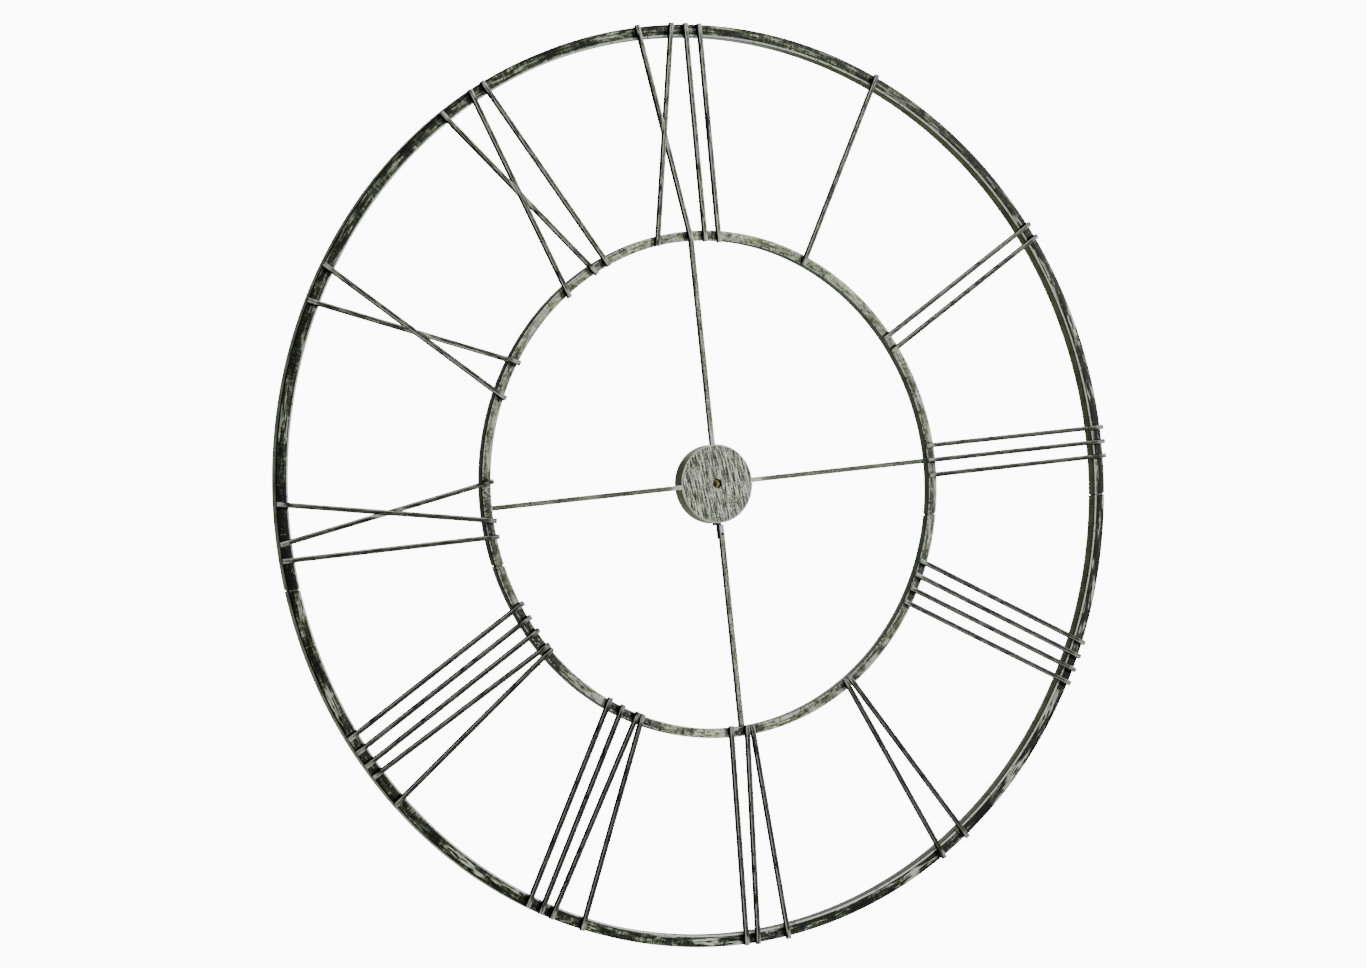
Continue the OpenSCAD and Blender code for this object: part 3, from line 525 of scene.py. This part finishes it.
FINISHES = {
    "outer_frame": outer_frame(),
    "inner_frame": inner_frame(),
    "numeral_rods": numeral_rods(),
    "spoke_rods": spoke_rods(),
    "bracket_black": speckled("bracket_black", (14, 14, 13), (34, 34, 31), 400, 0.2, 0.4),
    "tongue_steel": speckled("tongue_steel", (70, 70, 68), (128, 128, 124), 700, 0.8, 0.45),
    "zinc_steel": turned("zinc_steel", (170, 172, 170), (215, 216, 212), 0.3),
    "hub_face": hub_front(),
    "hub_side": speckled("hub_side", (100, 106, 66), (166, 174, 122), 160, 0.2, 0.42),
    "plate_steel": speckled("plate_steel", (14, 14, 13), (32, 32, 30), 500, 0.3, 0.5),
    "brass": turned("brass", (78, 74, 42), (128, 124, 80), 0.45),
    "case_plastic": speckled("case_plastic", (17, 17, 18), (38, 38, 40), 1400, 0.0, 0.55, 0.06),
    "gear_plastic": speckled("gear_plastic", (206, 200, 178), (226, 221, 202), 900, 0.0, 0.4,
                             Subsurface_Weight=0.15),
    "knob_plastic": speckled("knob_plastic", (206, 206, 202), (226, 226, 222), 900, 0.0, 0.38),
    "cell_wrap": cell_wrap(),
    "circuit_board": circuit(),
    "enamelled_copper": winding(),
    "core_steel": speckled("core_steel", (104, 105, 108), (160, 161, 164), 900, 0.9, 0.4),
}


# ---- Mesh tools ----

SMOOTH_TO = math.radians(38)


def closed_mesh(name, points, faces):
    """A new object with a closed mesh whose normals point outward."""
    mesh = bpy.data.meshes.new(name)
    mesh.from_pydata([tuple(p) for p in points], [], faces)
    shape = bmesh.new()
    shape.from_mesh(mesh)
    bmesh.ops.recalc_face_normals(shape, faces=shape.faces)
    shape.to_mesh(mesh)
    shape.free()
    piece = bpy.data.objects.new(name, mesh)
    bpy.context.scene.collection.objects.link(piece)
    return piece


def mesh_piece(name, points, faces, slot, node):
    """A closed mesh that stands for a node of the frame, shaded smooth but for its sharp edges."""
    piece = closed_mesh(name, points, faces)
    mesh = piece.data
    mesh.materials.append(FINISHES[slot])
    mesh.polygons.foreach_set("use_smooth", [True] * len(mesh.polygons))
    mesh.set_sharp_from_angle(angle=SMOOTH_TO)
    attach(piece, "root")
    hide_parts(node)
    return piece


def rounded_rectangle(left, right, low, high, corner, steps=3):
    """Points round a rectangle with round corners."""
    points = []
    for quarter, (x, y) in enumerate([(right, high), (left, high), (left, low), (right, low)]):
        centre_x = x - corner if x == right else x + corner
        centre_y = y - corner if y == high else y + corner
        for i in range(steps + 1):
            turn = math.pi / 2 * (quarter + i / steps)
            points.append((centre_x + corner * math.cos(turn), centre_y + corner * math.sin(turn)))
    return points


def loop_faces(first, second):
    """Quads between two closed loops of vertex numbers."""
    count = len(first)
    return [(first[i], first[(i + 1) % count], second[(i + 1) % count], second[i]) for i in range(count)]


def skin(loops):
    """Quads along a row of closed loops."""
    return [face for first, second in zip(loops, loops[1:]) for face in loop_faces(first, second)]


def capped(loops):
    """Quads along a row of closed loops, and a face on each end."""
    return skin(loops) + [tuple(loops[0]), tuple(reversed(loops[-1]))]


def at_angle(radius, angle, depth):
    """The point at an angle clockwise from 12 o'clock."""
    return Vector((radius * math.sin(angle), depth, radius * math.cos(angle)))


# ---- Rings ----

# The most that a tube's skin is dented, and the dents' frequency round the dial and across the tube
WAVE = 0.12 * MM
WAVE_AROUND = 40
WAVE_ACROSS = 60


def ring_angle(radius, level, upper, share):
    """Angle of a tube's section, so that every line along the tube ends on the level seam."""
    seam = math.acos(level / radius)
    reach = seam if upper else math.pi - seam
    return (0 if upper else math.pi) + (2 * share - 1) * reach


def tube_piece(node, slot, upper):
    """A square tube bent to an arc, open at the seam, with soft corners and a slightly uneven skin."""
    low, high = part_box(node)
    level = low.z if upper else high.z
    inside, outside = radii(node)
    outer_skin = rounded_rectangle(inside, outside, low.y, high.y, TUBE_CORNER)
    inner_skin = rounded_rectangle(inside + TUBE_WALL, outside - TUBE_WALL, low.y + TUBE_WALL,
                                   high.y - TUBE_WALL, TUBE_INNER_CORNER)
    middle = Vector(((inside + outside) / 2, (low.y + high.y) / 2))
    points, faces, ends = [], [], []
    for outline in (outer_skin, inner_skin):
        loops = []
        for step in range(RING_STEPS + 1):
            loop = []
            for radius, depth in outline:
                angle = ring_angle(radius, level, upper, step / RING_STEPS)
                if outline is outer_skin:
                    dent = noise.noise(Vector((math.sin(angle) * WAVE_AROUND, math.cos(angle) * WAVE_AROUND,
                                               radius * WAVE_ACROSS)))
                    inward = (middle - Vector((radius, depth))).normalized() * WAVE * (0.5 + 0.5 * dent)
                    radius, depth = radius + inward.x, depth + inward.y
                loop.append(len(points))
                points.append(at_angle(radius, angle, depth))
            loops.append(loop)
        faces += skin(loops)
        ends.append((loops[0], loops[-1]))
    for end in (0, 1):
        faces += loop_faces(ends[0][end], ends[1][end])
    return mesh_piece(node + "_tube", points, faces, slot, node)


outer_upper = tube_piece("outer_ring_upper", "outer_frame", True)
tube_piece("outer_ring_lower", "outer_frame", False)
tube_piece("inner_ring_upper", "inner_frame", True)
tube_piece("inner_ring_lower", "inner_frame", False)


# Half the width of a keyhole's slot, its rise above the round opening, and how far the cut reaches
# to each side of the mount's depth
SLOT_HALF = 2 * MM
SLOT_RISE = 4.5 * MM
CUT_REACH = 1.5 * MM
HOLE_STEPS = 32
SLOT_STEPS = 16


def cut_keyhole(tube, name):
    """Cuts a keyhole through the tube's back wall: a round hole with a slot above it."""
    mount = next(m for m in frame["record"]["mounts"] if m["name"] == name)
    place = Vector(mount["pos_m"])
    radius = mount["dims"]["r_mm"] * MM
    outline = []
    join = math.asin(SLOT_HALF / radius)
    for i in range(HOLE_STEPS + 1):
        turn = join + (2 * math.pi - 2 * join) * i / HOLE_STEPS
        outline.append((radius * math.sin(turn), radius * math.cos(turn)))
    for i in range(SLOT_STEPS + 1):
        turn = -math.pi / 2 + math.pi * i / SLOT_STEPS
        outline.append((SLOT_HALF * math.sin(turn), SLOT_RISE + SLOT_HALF * math.cos(turn)))
    lean = math.atan2(place.x, place.z)
    across = Vector((math.cos(lean), 0, -math.sin(lean)))
    outward = Vector((math.sin(lean), 0, math.cos(lean)))
    count = len(outline)
    points = [place + across * u + outward * v + Vector((0, side * CUT_REACH, 0))
              for side in (-1, 1) for u, v in outline]
    loops = [range(count), range(count, 2 * count)]
    cutter = closed_mesh("keyhole_cutter", points, capped(loops))
    cut = tube.modifiers.new("cut", "BOOLEAN")
    cut.object = cutter
    cut.operation = "DIFFERENCE"
    cut.solver = "EXACT"
    result = tube.evaluated_get(bpy.context.evaluated_depsgraph_get())
    mesh = bpy.data.meshes.new_from_object(result)
    tube.modifiers.clear()
    tube.data = mesh
    tube.data.set_sharp_from_angle(angle=SMOOTH_TO)
    bpy.data.objects.remove(cutter)


for keyhole in ("keyhole_left", "keyhole_right"):
    cut_keyhole(outer_upper, keyhole)


# ---- Numerals ----

ROD_STEPS = 44
END_CHAMFER = 0.4 * MM
# How far from its ends a rod is worn bare, how much, and how deep its front reaches
WORN_LENGTH = 11 * MM
WORN_SHARE = 0.8
FRONT_DEPTH = 0.8 * MM
# The most that a rod's skin is dented, as a share of the way to its middle, and the dents' frequency
# along the rod
ROD_WAVE = 0.022
ROD_WAVE_ALONG = 55


def solids(node):
    """The corner points of each separate solid of a CAD node."""
    mesh = nodes[node].data
    places = {}
    number = [places.setdefault(tuple(round(c, 6) for c in v.co), len(places)) for v in mesh.vertices]
    group = list(range(len(places)))

    def root(i):
        while group[i] != i:
            i = group[i]
        return i

    for polygon in mesh.polygons:
        corners = [number[i] for i in polygon.vertices]
        for corner in corners[1:]:
            group[root(corner)] = root(corners[0])
    found = {}
    for place, i in places.items():
        found.setdefault(root(i), []).append(place)
    return [np.array(found[key]) for key in sorted(found)]


def bar_end(corners, across):
    """The four corners of a bar's end: front left, front right, back left, back right."""
    by_depth = sorted(corners, key=lambda p: p[1])
    front, back = (sorted(pair, key=lambda p: p @ across) for pair in (by_depth[:2], by_depth[2:]))
    return [Vector(p) for p in front + back]


def rods_in(corners):
    """The rods of one solid, each as its inner and its outer end. A crossed pair has its second rod
    cut at the first."""
    middle = corners.mean(axis=0)
    outward = np.array((middle[0], 0, middle[2])) / math.hypot(middle[0], middle[2])
    single = len(corners) == 8
    if single:
        axis = np.linalg.svd(corners - middle)[2][0]
        outward = axis * np.sign(axis @ middle)
    across = np.cross((0, 1, 0), outward)
    height = (corners - middle) @ outward
    low = corners[height < height.min() * 0.9]
    high = corners[height > height.max() * 0.9]
    if single:
        return [(bar_end(low, across), bar_end(high, across))]
    left_low, right_low = (sorted(low, key=lambda p: p @ across)[k:k + 4] for k in (0, 4))
    left_high, right_high = (sorted(high, key=lambda p: p @ across)[k:k + 4] for k in (0, 4))
    whole = (bar_end(left_low, across), bar_end(right_high, across))
    start, stop = bar_end(right_low, across), bar_end(left_high, across)
    lower, upper = [], []
    run = whole[1][0] - whole[0][0]
    normal = run.cross(Vector((0, 1, 0)))
    for a, b in zip(start, stop):
        shares = sorted((edge - a).dot(normal) / (b - a).dot(normal) for edge in whole[0][:2])
        lower.append(a.lerp(b, shares[0]))
        upper.append(a.lerp(b, shares[1]))
    return [whole, (start, lower), (upper, stop)]


def rod_mesh(ends, seed):
    """Points, faces, run and wear of one rod with soft edges and worn, filed ends. The run is the distance
    along, the distance across from the left or upper edge, and the depth."""
    start, stop = ends
    length = ((stop[0] + stop[1]) - (start[0] + start[1])).length / 2
    width = min((start[1] - start[0]).length, (stop[1] - stop[0]).length)
    depth = (start[2] - start[0]).length
    chamfer_share = END_CHAMFER / length
    shares = [chamfer_share + (1 - 2 * chamfer_share) * i / ROD_STEPS for i in range(ROD_STEPS + 1)]
    shares = [0.0] + shares + [1.0]
    points, runs, worn, loops = [], [], [], []
    # Across is measured from the left or upper edge of every rod, so the painted highlight line falls on that
    # edge
    to_right = (start[1] - start[0]).dot(Vector((1, 0, -0.3))) > 0
    for share in shares:
        corners = [a.lerp(b, share) for a, b in zip(start, stop)]
        inset = END_CHAMFER if share in (0.0, 1.0) else 0.0
        loop = []
        for across, back in rounded_rectangle(inset, width - inset, inset, depth - inset,
                                              ROD_CORNER - inset * 0.5):
            u, v = across / width, back / depth
            point = corners[0].lerp(corners[1], u).lerp(corners[2].lerp(corners[3], u), v)
            middle = (corners[0] + corners[3]) / 2
            dent = noise.noise(Vector((share * length * ROD_WAVE_ALONG, seed * 3.7, u + 2 * v)))
            point = point.lerp(middle, ROD_WAVE * (0.5 + 0.5 * dent))
            bare = min(share, 1 - share) * length < WORN_LENGTH and back < FRONT_DEPTH
            loop.append(len(points))
            points.append(point)
            runs.append((share * length, across if to_right else width - across, back))
            worn.append(WORN_SHARE if bare else 0.0)
        loops.append(loop)
    return points, capped(loops), runs, worn


WELD_R = 1.0 * MM
WELD_LOOPS = 9
WELD_SIDES = 8
# Half the length of a bead, as a share of the ring's width, and the run that its finish takes, which gives it
# the rods' near-black side colour: painted shade in the corner
WELD_SHARE = 0.3
WELD_RUN = (0, 0, 2 * MM)


def weld_bead(centre, along, half, seed):
    """Points and faces of a lumpy bead in the corner between a rod's side and a ring's face."""
    sideways = along.cross(Vector((0, 1, 0)))
    points, loops = [], []
    for i in range(WELD_LOOPS):
        place = -1 + 2 * i / (WELD_LOOPS - 1)
        swell = WELD_R * max(0.12, 1 - place ** 4) ** 0.5
        loop = []
        for k in range(WELD_SIDES):
            turn = 2 * math.pi * k / WELD_SIDES
            lump = 0.8 + 0.3 * noise.noise(Vector((seed, place * 3, k * 0.6)))
            loop.append(len(points))
            points.append(centre + along * half * place
                          + (sideways * math.cos(turn) + Vector((0, math.sin(turn), 0))) * swell * lump)
        loops.append(loop)
    return points, capped(loops)


def rod_welds(ends, seed):
    """The beads of one rod, one on each side at each ring that it crosses."""
    beads = []
    for here, there in (ends, ends[::-1]):
        along = (there[2] - here[2]).normalized()
        radius = math.hypot(here[2].x, here[2].z)
        if inner_out < radius < outer_in:
            continue
        width = inner_out - inner_in if radius < inner_out else outer_out - outer_in
        for back_edge in here[2:]:
            beads.append(weld_bead(back_edge + along * (width / 2 + ROD_OVERHANG), along,
                                   width * WELD_SHARE, seed + len(beads)))
    return beads


def numeral_piece(hour):
    """All the rods of one numeral, welded to the rings."""
    node = f"numeral_{hour:02d}"
    points, faces, runs, worn, seeds = [], [], [], [], []
    rods = [rod for corners in solids(node) for rod in rods_in(corners)]
    for i, ends in enumerate(rods):
        seed = hour * 5 + i * 1.7
        shapes = [rod_mesh(ends, seed)]
        for bead, quads in rod_welds(ends, seed):
            shapes.append((bead, quads, [WELD_RUN] * len(bead), [0.0] * len(bead)))
        for more, quads, run, wear in shapes:
            faces += [tuple(len(points) + k for k in quad) for quad in quads]
            points += more
            runs += run
            worn += wear
            seeds += [seed] * len(more)
    piece = mesh_piece(node + "_rods", points, faces, "numeral_rods", node)
    layers = (("run", "FLOAT_VECTOR", "vector", np.array(runs).ravel()),
              ("worn", "FLOAT", "value", np.array(worn)), ("rod", "FLOAT", "value", np.array(seeds)))
    for name, kind, field, values in layers:
        piece.data.attributes.new(name, kind, "POINT").data.foreach_set(field, values.astype(np.float32))
    return piece


for hour in HOURS:
    numeral_piece(hour)


# ---- Hub ----

LATHE_STEPS = 192
# The front's dents move only points that are less deep than this, and have this frequency
DENTED_DEPTH = 0.2 * MM
DENT_FREQUENCY = 90


def lathe_piece(name, outline, slot, node, dent=0.0):
    """A closed outline of (radius, depth) turned about the arbor axis, with shallow dents in its front."""
    points, loops = [], []
    for step in range(LATHE_STEPS):
        angle = 2 * math.pi * step / LATHE_STEPS
        loop = []
        for radius, depth in outline:
            place = at_angle(radius, angle, depth)
            if dent and depth < DENTED_DEPTH:
                place.y += dent * (0.5 + 0.5 * noise.noise(place * DENT_FREQUENCY))
            loop.append(len(points))
            points.append(place)
        loops.append(loop)
    return mesh_piece(name, points, skin(loops + loops[:1]), slot, node)


def arc(centre, corner, start, stop, steps=4):
    """Points on a quarter round between two angles, in degrees, as (radius, depth)."""
    turns = [math.radians(start + (stop - start) * i / steps) for i in range(steps + 1)]
    return [(centre[0] + corner * math.cos(t), centre[1] + corner * math.sin(t)) for t in turns]


FACE_RINGS = 26
DRUM_RINGS = 6
HUB_CORNER = 0.45 * MM
HOLE_CHAMFER = 0.2 * MM
SEAM_CHAMFER = (0.12 * MM, 0.15 * MM)
FACE_DENT = 0.14 * MM

hole_edge = HUB_HOLE_R + HOLE_CHAMFER
disc = [(hole_edge + (hub_r - HUB_CORNER - hole_edge) * i / FACE_RINGS, 0.0) for i in range(FACE_RINGS)]
disc += arc((hub_r - HUB_CORNER, HUB_CORNER), HUB_CORNER, -90, 0)
disc += [(hub_r, hub_face_back), (HUB_HOLE_R, hub_face_back), (HUB_HOLE_R, HOLE_CHAMFER)]
lathe_piece("hub_disc", disc, "hub_face", "hub_face", dent=FACE_DENT)

drum = [(hub_r - HUB_WALL, hub_face_back), (hub_r - SEAM_CHAMFER[0], hub_face_back),
        (hub_r, hub_face_back + SEAM_CHAMFER[1])]
drum += [(hub_r, hub_face_back + (hub_back - hub_face_back) * i / DRUM_RINGS) for i in range(1, DRUM_RINGS)]
drum += arc((hub_r - HUB_CORNER, hub_back - HUB_CORNER), HUB_CORNER, 0, 90)
drum += arc((hub_r - HUB_WALL + HUB_CORNER, hub_back - HUB_CORNER), HUB_CORNER, 90, 180)
lathe_piece("hub_drum", drum, "hub_side", "hub_wall")


# ---- CAD nodes that stay as they are, with soft edges and their own finish ----

WELD_DISTANCE = 0.004 * MM
BEVEL_FROM = math.radians(35)


def dress(node, slot, soft_edge):
    """Gives a CAD node its finish, and rounds its sharp edges by modifiers."""
    part = nodes[node]
    part.data.materials.clear()
    part.data.materials.append(FINISHES[slot])
    if not soft_edge:
        return
    part.modifiers.new("weld", "WELD").merge_threshold = WELD_DISTANCE
    bevel = part.modifiers.new("soften", "BEVEL")
    bevel.width = soft_edge
    bevel.segments = 2
    bevel.limit_method = "ANGLE"
    bevel.angle_limit = BEVEL_FROM
    bevel.harden_normals = False


SOFT_EDGES = {"spoke_rods": 0.5 * MM, "bracket_black": 0.35 * MM}
# A bevel leaves creases round the screw hole in this one
HARD_NODES = ("spoke_bottom",)
for row in frame["record"]["subparts"]:
    if not nodes[row["node"]].hide_render:
        soft_edge = 0 if row["node"] in HARD_NODES else SOFT_EDGES.get(row["material_slot"], 0)
        dress(row["node"], row["material_slot"], soft_edge)


# ---- Stage ----

FLOOR_DROP = 0.26
FLOOR_GLOW = 0.6
# Strength of the surround as a light, and as the camera sees it
FILL = 0.22
SHOWN = 11.0
KEY_STRENGTH = 1.5
KEY_ANGLE = math.radians(3)
KEY_DIRECTION = (-0.70, 0.70, -0.14)
KEY_COLOUR = (1.0, 0.985, 0.95)
# Name, power, place and target of each soft light
SOFT_LIGHTS = (("top", 5, (0.2, -1.2, 1.7), (0, 0, 0.3)), ("behind", 12, (0.9, 2.2, 0.9), (0, 0, 0)))
SOFT_LIGHT_SIZE = 1.6


def aim(direction):
    return Vector(direction).to_track_quat("-Z", "Y").to_euler()


def stage():
    """A pale floor below the clock, a white surround, a key light from the right and soft fill."""
    scene = bpy.context.scene
    shape = bmesh.new()
    bmesh.ops.create_circle(shape, cap_ends=True, segments=96, radius=1.0)
    mesh = bpy.data.meshes.new("floor")
    shape.to_mesh(mesh)
    shape.free()
    floor = bpy.data.objects.new("floor", mesh)
    floor.location = (0, 0, cad_low.z - FLOOR_DROP)
    scene.collection.objects.link(floor)
    paint = Paint("floor_paint", Roughness=0.8)
    cloudy = paint.specks(3, 3, 0.55)
    paint.set("Base Color", paint.shades(cloudy, (0.3, 236, 236, 234), (0.7, 242, 242, 240)))
    paint.set("Emission Color", WHITE)
    paint.set("Emission Strength", FLOOR_GLOW)
    mesh.materials.append(paint.material)

    world = bpy.data.worlds.new("surround")
    world.use_nodes = True
    scene.world = world
    tree = world.node_tree
    fill = tree.nodes["Background"]
    fill.inputs["Color"].default_value = srgb(226, 232, 240)
    fill.inputs["Strength"].default_value = FILL
    shown = tree.nodes.new("ShaderNodeBackground")
    shown.inputs["Color"].default_value = WHITE
    shown.inputs["Strength"].default_value = SHOWN
    pick = tree.nodes.new("ShaderNodeMixShader")
    path = tree.nodes.new("ShaderNodeLightPath")
    tree.links.new(path.outputs["Is Camera Ray"], pick.inputs[0])
    tree.links.new(fill.outputs[0], pick.inputs[1])
    tree.links.new(shown.outputs[0], pick.inputs[2])
    tree.links.new(pick.outputs[0], tree.nodes["World Output"].inputs["Surface"])

    key = bpy.data.lights.new("key", "SUN")
    key.energy = KEY_STRENGTH
    key.angle = KEY_ANGLE
    key.color = KEY_COLOUR
    key_object = bpy.data.objects.new("key", key)
    key_object.rotation_euler = aim(KEY_DIRECTION)
    scene.collection.objects.link(key_object)

    for name, energy, place, target in SOFT_LIGHTS:
        soft_light = bpy.data.lights.new(name, "AREA")
        soft_light.energy = energy
        soft_light.size = SOFT_LIGHT_SIZE
        holder = bpy.data.objects.new(name, soft_light)
        holder.location = place
        holder.rotation_euler = aim(Vector(target) - Vector(place))
        scene.collection.objects.link(holder)


CAMERA_AT = (-1.6681, -3.3358, 0.0459)
CAMERA_RIGHT = (0.89407, -0.43577, -0.10369)
CAMERA_FORWARD = (0.43705, 0.89937, -0.01124)
CAMERA_LENS = 79.24
SENSOR_WIDTH = 36.0
CLIP_NEAR = 0.05
CLIP_FAR = 50.0


def camera():
    """Left of the clock and level with its centre, rolled a little, as the clock hangs in the view."""
    data = bpy.data.cameras.new("camera")
    data.lens = CAMERA_LENS
    data.sensor_width = SENSOR_WIDTH
    data.clip_start = CLIP_NEAR
    data.clip_end = CLIP_FAR
    view = bpy.data.objects.new("camera", data)
    right = Vector(CAMERA_RIGHT).normalized()
    forward = Vector(CAMERA_FORWARD).normalized()
    up = right.cross(forward)
    columns = (right, up, -forward, CAMERA_AT)
    rows = [[column[i] for column in columns] for i in range(3)]
    view.matrix_world = Matrix(rows + [(0, 0, 0, 1)])
    bpy.context.scene.collection.objects.link(view)
    bpy.context.scene.camera = view


stage()
camera()
